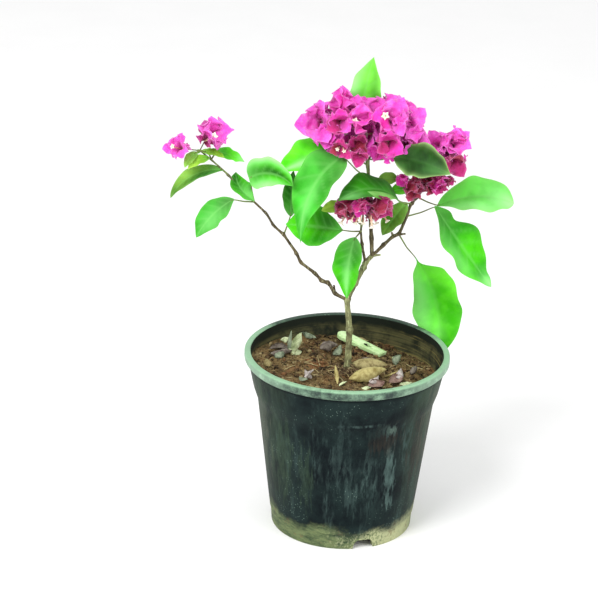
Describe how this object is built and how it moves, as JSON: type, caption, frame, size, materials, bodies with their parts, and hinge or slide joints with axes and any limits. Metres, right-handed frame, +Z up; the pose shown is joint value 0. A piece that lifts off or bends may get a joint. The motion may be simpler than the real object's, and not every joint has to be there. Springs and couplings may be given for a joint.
{
  "type": "bougainvillea bush in a nursery pot",
  "caption": "Young bougainvillea bush with a short leaning trunk, open boughs, broad leaves and papery bracts, in a tapered round nursery pot.",
  "frame": {"origin": "on the ground on the pot's axis, in the flat disc of the pot's underside", "axes": "+X to the right of the front view, +Y away from the viewer, +Z up"},
  "size_m": [0.3369, 0.2179, 0.4724],
  "materials": {
    "pot": "matte, dusty",
    "soil": "matte, crumbly",
    "bark": "rough",
    "leaf": "satin",
    "bract": "papery",
    "dry_leaf": "matte",
    "cane": "matte"
  },
  "bodies": {
    "root": {"pot": "pot", "soil": "soil", "dry_leaf_back": "dry_leaf", "dry_leaf_front": "dry_leaf", "cane_chip": "cane", "trunk": "bark", "left_bough": "bark", "inner_shoot": "bark", "centre_bough": "bark", "right_bough": "bark", "back_bough": "bark", "leaf_left_inner": "leaf", "leaves_centre": "leaf", "leaf_right_hanging": "leaf", "leaf_right_low": "leaf", "left_spray": "leaf", "crown": "bract", "right_spray": "bract", "middle_spray": "bract", "back_spray": "leaf"}
  },
  "joints": []
}
